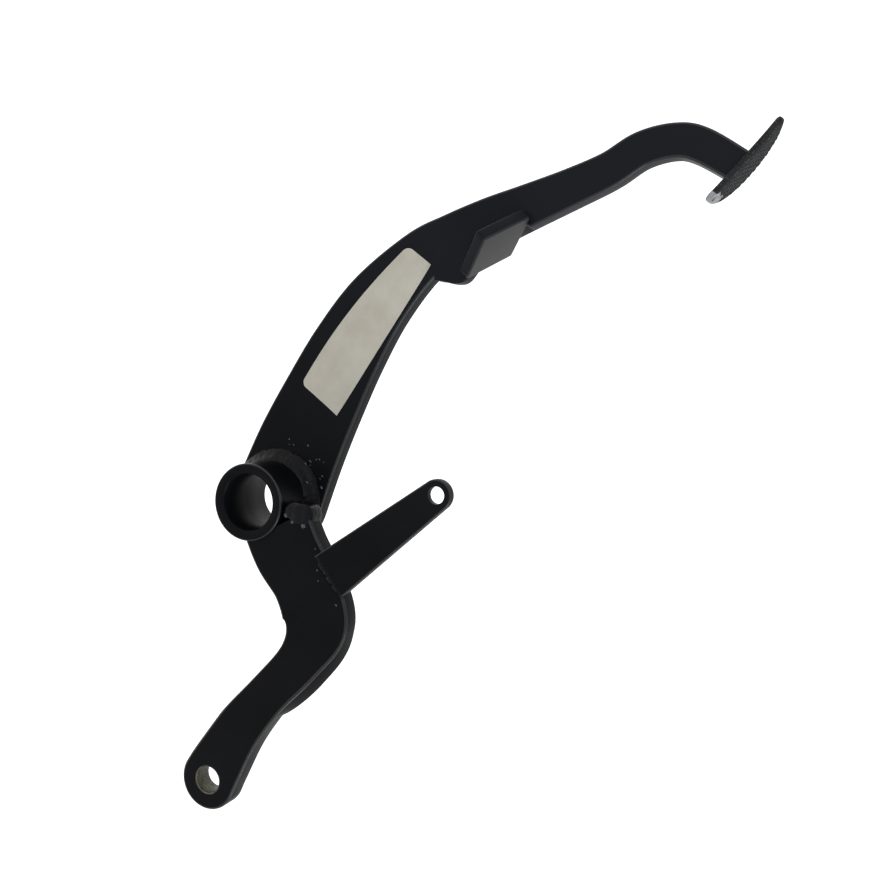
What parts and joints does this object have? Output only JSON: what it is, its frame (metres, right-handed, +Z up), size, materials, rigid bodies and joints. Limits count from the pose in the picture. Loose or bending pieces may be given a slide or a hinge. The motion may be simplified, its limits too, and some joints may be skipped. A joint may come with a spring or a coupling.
{
  "type": "motorcycle rear brake pedal",
  "caption": "Welded steel foot lever: a pivot tube carries a long curved arm with a knurled tread, a joggled brake-rod lever, a spring arm and a stop plate.",
  "frame": {"origin": "on the axis of the pivot bore, half way along the tube", "axes": "+X forward to the toe, +Y inboard along the pivot axis, +Z up, with the tread 3 degrees off level"},
  "size_m": [0.2796, 0.0445, 0.0878],
  "materials": {
    "black_coat": "satin black powder coat on steel",
    "tread_coat": "black coat over a diamond knurl",
    "weld_coat": "weld bead under black coat",
    "paper": "matt off-white paper tape"
  },
  "bodies": {
    "root": {"pedal_arm": "black_coat", "pivot_tube": "black_coat", "rod_lever": "black_coat", "spring_arm": "black_coat", "tread_plate": "tread_coat", "stop_plate": "black_coat", "tube_weld_inboard": "weld_coat", "tube_weld_outboard": "weld_coat", "lever_weld": "weld_coat", "spring_arm_weld": "weld_coat", "tread_weld": "weld_coat", "stop_weld": "weld_coat", "label_strip": "paper"}
  },
  "joints": []
}
